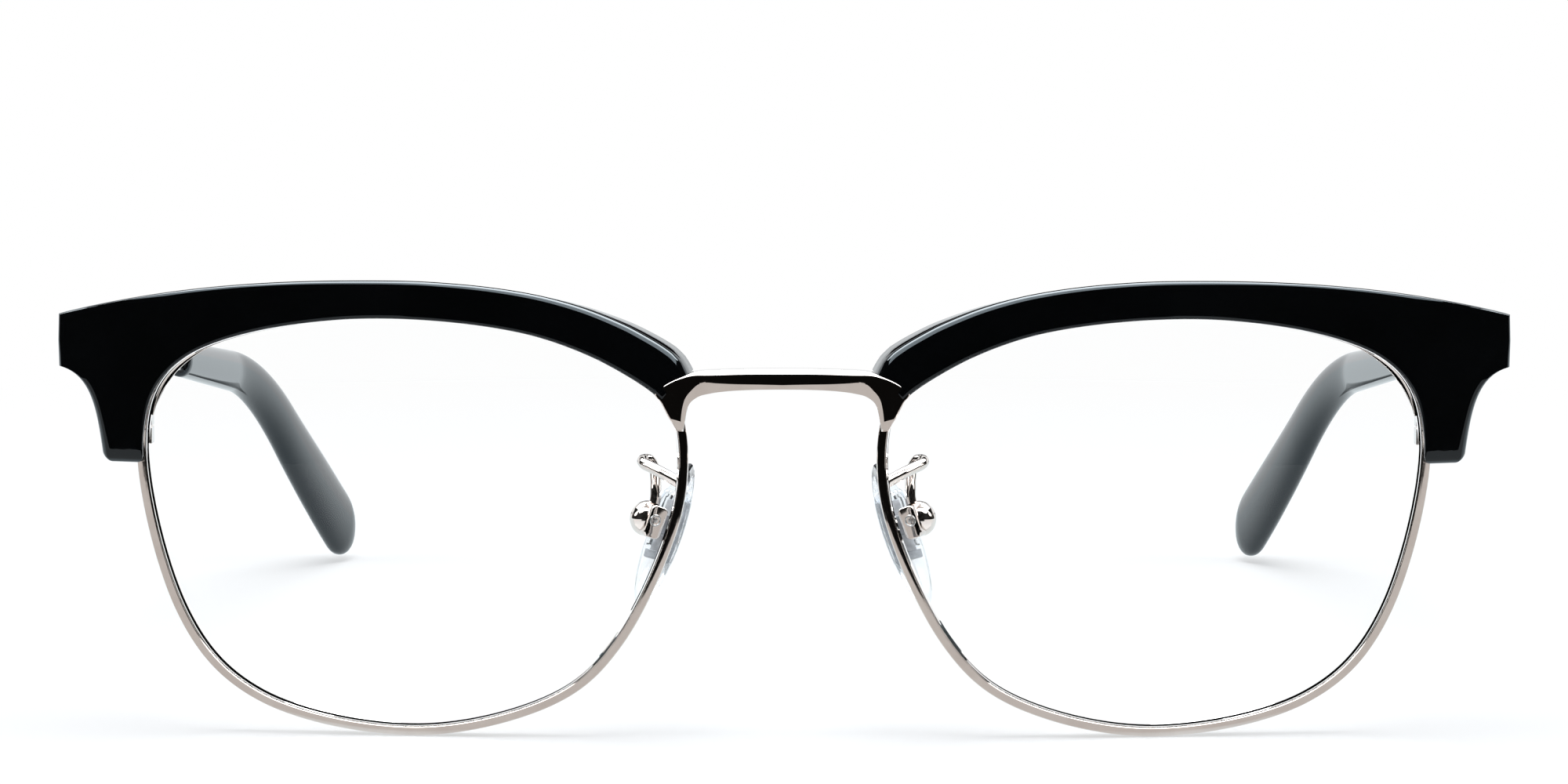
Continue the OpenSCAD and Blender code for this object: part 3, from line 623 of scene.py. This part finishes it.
def templeTip():
    t = temple
    start, tangEnd = t["coreLength"] + t["tipGap"], t["length"] - t["endHeight"]
    room, mouthLong = t["tangRoom"], t["mouth"][-1][1]
    rings = []
    for k in range(12, -1, -1):
        s = mix(start, tangEnd, k / 12)
        rings.append(sectionRing(s, t["tangThick"] + room, t["tangHeight"] + room,
                                 t["tangPower"]))
    for size, step in t["mouth"]:
        s = start + step
        rings.append(sectionRing(s, tipThick(s) * size, tipHeight(s) * size, t["tipPower"]))
    for k in range(1, 60):
        s = mix(start + mouthLong, t["capStart"], k / 59)
        rings.append(sectionRing(s, tipThick(s), tipHeight(s), t["tipPower"]))
    for k in range(1, 13):  # the blunt end
        a = radians(90 * k / 12)
        s = t["capStart"] + t["capLong"] * sin(a)
        size = cos(a) ** t["capPower"] if k < 12 else .02
        rings.append(sectionRing(s, tipThick(s) * min(1, size ** .7 + .03), tipHeight(s) * size,
                                 t["tipPower"]))
    return loft(rings)


def templeBar():
    t = temple
    rings = [sectionRing(*row) for row in t["bar"]]
    rings.append(sectionRing(t["coreLength"] + t["tangStep"], t["tangThick"], t["tangHeight"],
                             t["tangPower"]))
    for k in range(9):
        s = mix(t["shaft"], t["length"] - t["endHeight"] - t["tangEnd"], k / 8)
        rings.append(sectionRing(s, t["tangThick"], t["tangHeight"], t["tangPower"]))
    for ring in rings[:3]:  # its start is cut straight at the hinge
        for p in ring:
            p.y = max(p.y, t["hinge"][1])
    return loft(rings)


makePair(templeTip, "temple_tip", "temple", tipAcetate, "black_acetate", sharp=60)
makePair(templeBar, "temple_bar", "temple", metal, "polished_metal", sharp=35)
print("temples in place")

# Nose pads: the box, the screw and the pad are made round the origin and turned into place

pad = {
    "at": (13.0, 6.0, 20.6), "front": 22.0, "splay": 25.0, "reach": 2.2, "long": 14.6,
    "wide": 7.6, "thick": 1.9, "drop": .9, "pocket": (3.9, 6.1), "pocketRise": .35,
    "pocketFloor": .25, "topShares": (0, .3, .55, .75, .88, .95, .985, 1),
    "backShares": (.985, .95, .88, .75), "boxRadius": 1.7, "boxSink": .1, "wire": .55,
    "armRoot": 6.27, "armGap": .04, "armSteps": 8, "armSides": 20,
    "armPath": [(11.2, 3.6, 25.05), (12.5, 4.7, 25.6), (13.4, 5.6, 25.95), (13.55, 6.6, 26.2),
                (12.95, 7.3, 26.1), (12.5, 7.3, 25.3), (12.35, 6.9, 24.4), (12.33, 6.5, 23.5),
                (12.33, 6.33, 22.8)],
}
padFrame = (Matrix.Translation(pad["at"]) @ Matrix.Rotation(radians(-pad["splay"]), 4, "Z")
            @ Matrix.Rotation(radians(-pad["front"]), 4, "Y"))


def nosePad():
    half = pad["thick"] / 2
    wide, high = pad["pocket"]

    def swell(f):  # how thick the pad is, f of the way from its middle to its edge
        return half * (1 - .75 * f ** 2.2 - .25 * f ** 9)

    rings = []
    for k in range(72):
        a = 2 * pi * k / 72
        c, s = cos(a), sin(a)
        edge = Vector((pad["wide"] / 2 * s * (1 - .06 * c), pad["long"] / 2 * c))  # Y, Z
        hole = 1 / max(abs(s) / (wide / 2), abs(c) / (high / 2))
        mouth = Vector((s, c)) * min(hole, Vector((wide, high)).length / 2 * .93)
        mouth.y += pad["pocketRise"] + pad["drop"]
        row = [(edge * f, -swell(f)) for f in pad["topShares"]]
        row += [(edge * f, swell(f)) for f in pad["backShares"]]
        row += [(mouth, half * .93), (mouth * .98, half * .86),
                (mouth * .98, -pad["pocketFloor"]), (Vector((0, 0)), -pad["pocketFloor"])]
        rings.append([padFrame @ Vector((-pad["reach"] + x, p.x, p.y - pad["drop"]))
                      for p, x in row])
    return loft(rings, closedRing=False, closedPath=True)


def padArm():
    root = rimOff(pad["armRoot"], -wire["thick"] / 2)
    start = Vector((root.x, frontY(root.x, root.y, wire["deep"]), root.y))
    turn = padFrame.to_3x3()
    up, out = turn @ Vector((0, 0, 1)), turn @ Vector((1, 0, 0))
    at = Vector(pad["at"])
    path = [start] + [Vector(p) for p in pad["armPath"]] + [at + up * pad["boxRadius"]]
    last = len(path) - 1
    side = Vector((0, 0, 1))
    rings = []
    near = .03
    for k in range(last * pad["armSteps"] + 1):
        t = k / pad["armSteps"]
        m = spline(path, t)
        along = (spline(path, min(t + near, last)) - spline(path, max(t - near, 0))).normalized()
        side = (side - along * side.dot(along)).normalized()
        other = side.cross(along)
        ring = []
        for j in range(pad["armSides"]):
            a = 2 * pi * j / pad["armSides"]
            p = m + pad["wire"] * (side * cos(a) + other * sin(a))
            if t == 0:  # its foot follows the eyewire's back
                p.y = frontY(p.x, p.z, wire["deep"]) + pad["armGap"]
            if t == last:  # its other end follows the box
                rise = sqrt((pad["boxRadius"] - pad["boxSink"]) ** 2 - (p - at).dot(out) ** 2)
                p += up * (rise - (p - at).dot(up))
            ring.append(p)
        rings.append(ring)
    return loft(rings)


padBoxSizes = {"blobAt": (.12, .3, 0), "blob": (1.6, 1.5, 1.72), "plateAt": (-.16, -1.0, -.15),
               "plate": (1.76, 1.3, 3.15), "corner": .5, "edge": .14}


def padBox():  # a rounded blob with a flat plate on the screw's head side
    b = padBoxSizes
    bm = bmesh.new()
    blob = bmesh.ops.create_icosphere(bm, subdivisions=5, radius=1)["verts"]
    plate = bmesh.ops.create_cube(bm, size=1)["verts"]
    for verts, at, size in ((blob, b["blobAt"], b["blob"]), (plate, b["plateAt"], b["plate"])):
        bmesh.ops.transform(bm, verts=verts,
                            matrix=Matrix.Translation(at) @ Matrix.Diagonal((*size, 1)))
    onPlate = set(plate)
    uprights = [e for e in bm.edges if e.verts[0] in onPlate
                and abs((e.verts[0].co - e.verts[1].co).normalized().y) > .9]
    bmesh.ops.bevel(bm, geom=uprights, offset=b["corner"], affect="EDGES", segments=6, profile=.5,
                    material=-1)
    plateEdges = [e for e in bm.edges if len(e.link_faces) == 2 and e.calc_face_angle() > 1.2]
    bmesh.ops.bevel(bm, geom=plateEdges, offset=b["edge"], affect="EDGES", segments=4, profile=.5,
                    material=-1)
    bm.transform(padFrame)
    return bm


padScrewSizes = {
    "radius": .6, "proud": .03, "end": 1.5,
    # its head from the middle out, behind its top: a domed middle, a moat and a raised ring
    "head": [(0, 0), (.18, .01), (.27, .05), (.31, .16), (.36, .16), (.4, .02), (.46, -.03),
             (.54, -.02), (.59, .04), (.6, .12)],
}


def padScrew():
    b = padScrewSizes
    top = padBoxSizes["plateAt"][1] - padBoxSizes["plate"][1] / 2 - b["proud"]
    profile = [(x, top + y) for x, y in b["head"]] + [(b["radius"], b["end"])]
    bm = bmesh.new()
    verts = [bm.verts.new((x, y, 0)) for x, y in profile]
    edges = [bm.edges.new(pair) for pair in zip(verts, verts[1:])]
    bmesh.ops.spin(bm, geom=verts + edges, cent=(0, 0, 0), axis=(0, 1, 0), angle=2 * pi, steps=48,
                   use_merge=True)
    closeAndTurn(bm)
    bm.transform(padFrame)
    return bm


makePair(nosePad, "nose_pad", "pad", silicone, "clear_silicone", sharp=50)
makePair(padArm, "pad_arm", "front", metal, "polished_metal", sharp=50)
makePair(padBox, "pad_box", "front", metal, "polished_metal", sharp=50)
makePair(padScrew, "pad_screw", "front", steel, "screw_steel", sharp=30)
print("nose pads in place")

# Small parts, which keep their CAD shape with softened edges

copying = {"joinWithin": 2e-6, "flatWithin": 1, "innerFace": .05, "sharp": 25}
smallParts = {  # part: body, finish, slot, softened edge, further reach towards the lens
    "pad_insert": ("pad", insertGrey, "grey_insert", .12, 0),
    "brow_tab": ("front", metal, "polished_metal", .12, 0),
    "brow_screws": ("front", steel, "screw_steel", .1, 0),
    "rim_lock_upper": ("front", metal, "polished_metal", .12, .6),
    "rim_lock_lower": ("front", metal, "polished_metal", .12, .6),
    "rim_lock_screw": ("front", steel, "screw_steel", .08, 0),
    "end_piece": ("front", metal, "polished_metal", .15, 0),
    "front_hinge": ("front", metal, "polished_metal", .1, 0),
    "hinge_screw": ("front", steel, "screw_steel", .08, 0),
    "temple_hinge": ("temple", metal, "polished_metal", .1, 0),
}


def softenNode(node, body, material, slotName, bevel, reach):
    bm = bmesh.new()
    bm.from_mesh(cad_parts[node].data)
    bmesh.ops.remove_doubles(bm, verts=bm.verts, dist=copying["joinWithin"])
    bmesh.ops.dissolve_limit(bm, angle_limit=radians(copying["flatWithin"]), verts=bm.verts,
                             edges=bm.edges)
    bm.transform(Matrix.Translation((0, place["midY"], 0)) @ Matrix.Scale(1 / place["scale"], 4))
    innermost = min(abs(v.co.x) for v in bm.verts)
    for v in bm.verts:
        if reach and abs(v.co.x) < innermost + copying["innerFace"]:
            v.co.x -= reach if v.co.x > 0 else -reach
    makePiece(bm, node + "_finished", node, body, material, slotName, sharp=copying["sharp"],
              bevel=bevel)


lip = {"from": 11.78, "to": 10.35, "stations": 40, "under": .5, "gap": .06, "thick": .7,
       "frontRound": .03, "backRound": (.1, .12),
       "reach": [(0, .62), (.15, .78), (.32, .88), (.55, .68), (.8, .3), (1, .02)]}


def lipShape():  # the edge of an end piece that follows the rim behind the lens
    rings = []
    for k in range(lip["stations"] + 1):
        t = k / lip["stations"]
        u = mix(lip["from"], lip["to"], t)
        edge = -wire["thick"] - table(lip["reach"], t)
        low = wire["deep"] + lip["gap"]
        high = low + lip["thick"]
        r, (inRound, deepRound) = lip["frontRound"], lip["backRound"]
        rings.append([onBall(rimOff(u, out), back) for out, back in (
            (edge, low + r), (edge + r, low), (-lip["under"], low), (-lip["under"], high),
            (edge + inRound, high), (edge, high - deepRound))])
    return loft(rings)


for part, (body, finish, slotName, edge, reach) in smallParts.items():
    for side in ("left", "right"):
        softenNode(side + "_" + part, body if body == "front" else side + "_" + body,
                   finish, slotName, edge, reach)
makePair(lipShape, "end_piece", "front", metal, "polished_metal", suffix="_lip", sharp=30)
print("small parts in place")

# Stage: a white table, and cards that only reflections see, since polished pieces show nothing else

stage = {
    "floor": (0.93, 0.945, 0.96, 1), "floorRoughness": 0.85, "floorShine": 0.1,
    "floorSize": 3000, "floorGlow": 0.4,
    "shadowReach": (110.0, 330.0),  # from all of the shadow to none of it
    "frontShade": (-69.0, -71.5), "frontShadeColour": (.62, .60, .585, 1),  # painted shade: the table before the rims, darkened where a reflection sees it
    "paintedReflectionTint": (.89, .965, 1, 1),  # painted reflection tint: the table as a reflection sees it, bluish
    "cardWhite": (0.95, 0.98, 1, 1), "cardBlack": (1, .95, .9, 1),
    "fill": (0.93, 0.965, 1.0, 1), "fillStrength": 0.5, "white": (1, 1, 1, 1),
}


def seenDirectly(tree, path):  # 1 where the camera, a reflection or a clear piece looks
    first = calculate(tree, "MAXIMUM", path.outputs["Is Camera Ray"],
                      path.outputs["Is Glossy Ray"])
    return calculate(tree, "MAXIMUM", first, path.outputs["Is Transmission Ray"])


def tint(tree, share, a, b):  # the first colour is a colour or another node's
    node = tree.nodes.new("ShaderNodeMix")
    node.data_type = "RGBA"
    if isinstance(a, tuple):
        node.inputs["A"].default_value = a
    else:
        tree.links.new(a, node.inputs["A"])
    node.inputs["B"].default_value = b
    tree.links.new(share, node.inputs["Factor"])
    return node.outputs["Result"]


def floorMaterial():  # glows white far from the glasses, keeps their shadow near them
    material, tree, shader, out = newMaterial("pale floor")
    shader.inputs["Base Color"].default_value = stage["floor"]
    shader.inputs["Roughness"].default_value = stage["floorRoughness"]
    shader.inputs["Specular IOR Level"].default_value = stage["floorShine"]
    where = tree.nodes.new("ShaderNodeTexCoord")
    path = tree.nodes.new("ShaderNodeLightPath")
    axes = tree.nodes.new("ShaderNodeSeparateXYZ")
    tree.links.new(where.outputs["Object"], axes.inputs["Vector"])
    mirrored = calculate(tree, "SUBTRACT", path.outputs["Is Glossy Ray"],
                         path.outputs["Is Transmission Ray"], clamp=True)
    # Painted shade: where a reflection sees the table before the rims, it is darkened to the front
    # shade colour
    start, end = (y * place["scale"] for y in stage["frontShade"])
    before = spread(tree, axes.outputs["Y"], 0, 1, start, end)
    shade = calculate(tree, "MULTIPLY", before.outputs["Result"], mirrored)
    glow = tree.nodes.new("ShaderNodeEmission")
    # Painted reflection tint: everywhere else a reflection sees the table in a bluish tint
    tone = tint(tree, mirrored, stage["white"], stage["paintedReflectionTint"])
    tree.links.new(tint(tree, shade, tone, stage["frontShadeColour"]), glow.inputs["Color"])
    away = tree.nodes.new("ShaderNodeVectorMath")
    away.operation = "LENGTH"
    tree.links.new(where.outputs["Object"], away.inputs[0])
    start, end = (r * place["scale"] for r in stage["shadowReach"])
    share = spread(tree, away.outputs["Value"], stage["floorGlow"], 1, start, end)
    share.interpolation_type = "SMOOTHSTEP"
    seen = calculate(tree, "MULTIPLY", share.outputs["Result"], seenDirectly(tree, path))
    whole = calculate(tree, "MAXIMUM", seen, mirrored)
    tree.links.new(mixShaders(tree, whole, shader.outputs["BSDF"], glow.outputs["Emission"]),
                   out.inputs["Surface"])
    return material


def cardMaterial(name, strength):
    material, tree, shader, out = newMaterial(name)
    glow = tree.nodes.new("ShaderNodeEmission")
    glow.inputs["Color"].default_value = stage["cardWhite" if strength > .1 else "cardBlack"]
    glow.inputs["Strength"].default_value = strength
    unseen = tree.nodes.new("ShaderNodeBsdfTransparent")  # nothing of it shows through a lens
    path = tree.nodes.new("ShaderNodeLightPath")
    straight = calculate(tree, "SUBTRACT", path.outputs["Is Transmission Ray"],
                         path.outputs["Glossy Depth"], clamp=True)
    tree.links.new(mixShaders(tree, straight, glow.outputs["Emission"], unseen.outputs["BSDF"]),
                   out.inputs["Surface"])
    return material


def plane(name, corners, material):
    bm = bmesh.new()
    bm.faces.new([bm.verts.new(Vector(c) * place["scale"]) for c in corners])
    mesh = bpy.data.meshes.new(name)
    bm.to_mesh(mesh)
    bm.free()
    mesh.materials.append(material)
    sheet = bpy.data.objects.new(name, mesh)
    scene.collection.objects.link(sheet)
    return sheet


def squareCorners(half):
    return [(-half, -half), (half, -half), (half, half), (-half, half)]


def card(name, strength, corners):
    sheet = plane(name, [(x, y - place["midY"], z) for x, y, z in corners],
                  cardMaterial(name, strength))
    sheet.visible_camera = sheet.visible_diffuse = sheet.visible_shadow = False


plane("floor", [(*c, 0) for c in squareCorners(stage["floorSize"])], floorMaterial())

room = {"half": 1200, "high": 1200, "strength": .012}
uprightCards = {  # strength, one end and the other on the table, lower and upper edge
    "front flag": (.004, (-66, -105), (66, -105), 0, 150),
    "sweep": (1.0, (1190, 1190), (-1190, 1190), 0, 310),
    "high window": (1.0, (1190, 1190), (-1190, 1190), 640, 950),
    "left panel": (1.0, (-1000, 560), (-330, 960), 0, 520),
    "right panel": (1.0, (330, 960), (1000, 560), 0, 520),
}
softboxes = {  # strength, half its width, Y and Z of its front and back edge
    "front softbox": (4.0, 480, (-390, 400), (30, 470)),
    "rear softbox": (10.0, 480, (60, 470), (330, 420)),
}
corners = squareCorners(room["half"])
for k, where in enumerate(("front", "right", "back", "left")):
    uprightCards[where + " wall"] = (room["strength"], corners[k], corners[(k + 1) % 4],
                                     0, room["high"])
for name, (strength, a, b, low, high) in uprightCards.items():
    card(name, strength, [(*a, low), (*b, low), (*b, high), (*a, high)])
for name, (strength, half, near, far) in softboxes.items():
    card(name, strength, [(-half, *near), (half, *near), (half, *far), (-half, *far)])
card("ceiling", room["strength"], [(*c, room["high"]) for c in corners])


def buildWorld():
    world = bpy.data.worlds.new("studio")
    scene.world = world
    world.use_nodes = True
    tree = world.node_tree
    fill, out = tree.nodes["Background"], tree.nodes["World Output"]
    fill.inputs["Color"].default_value = stage["fill"]
    fill.inputs["Strength"].default_value = stage["fillStrength"]
    white = tree.nodes.new("ShaderNodeBackground")
    white.inputs["Color"].default_value = stage["white"]
    white.inputs["Strength"].default_value = 1.0
    seen = seenDirectly(tree, tree.nodes.new("ShaderNodeLightPath"))
    tree.links.new(mixShaders(tree, seen, fill.outputs["Background"],
                              white.outputs["Background"]), out.inputs["Surface"])


buildWorld()

lamps = {  # place, aim, diameter, power
    "top": ((0, 40, 620), (0, 20, 0), 420, 1.7),
    "back": ((0, 620, 420), (0, 60, 10), 360, .9),
    "leftSide": ((-560, -60, 300), (0, 20, 15), 300, .7),
    "rightSide": ((560, -60, 300), (0, 20, 15), 300, .7),
}
for name, (where, aim, size, power) in lamps.items():
    light = bpy.data.lights.new(name, "AREA")
    light.shape, light.size, light.energy = "DISK", size * place["scale"], power
    lamp = bpy.data.objects.new(name, light)
    scene.collection.objects.link(lamp)
    lamp.location = (Vector(where) - Vector((0, place["midY"], 0))) * place["scale"]
    lamp.rotation_euler = (Vector(aim) - Vector(where)).to_track_quat("-Z", "Y").to_euler()
    lamp.visible_glossy = False

camera = {"at": (5.44, -490.0, 77.8), "pitch": 5.18, "yaw": .618, "lens": 118.69, "sensor": 36,
          "nearest": .01, "farthest": 20}
cam = bpy.data.cameras.new("camera")
cam.lens, cam.sensor_width = camera["lens"], camera["sensor"]
cam.clip_start, cam.clip_end = camera["nearest"], camera["farthest"]
viewer = bpy.data.objects.new("camera", cam)
scene.collection.objects.link(viewer)
viewer.location = (Vector(camera["at"]) - Vector((0, place["midY"], 0))) * place["scale"]
viewer.rotation_euler = Euler((radians(90 - camera["pitch"]), 0, radians(camera["yaw"])))
scene.camera = viewer
scene.view_settings.view_transform = "Standard"
print("stage, lamps and camera ready")
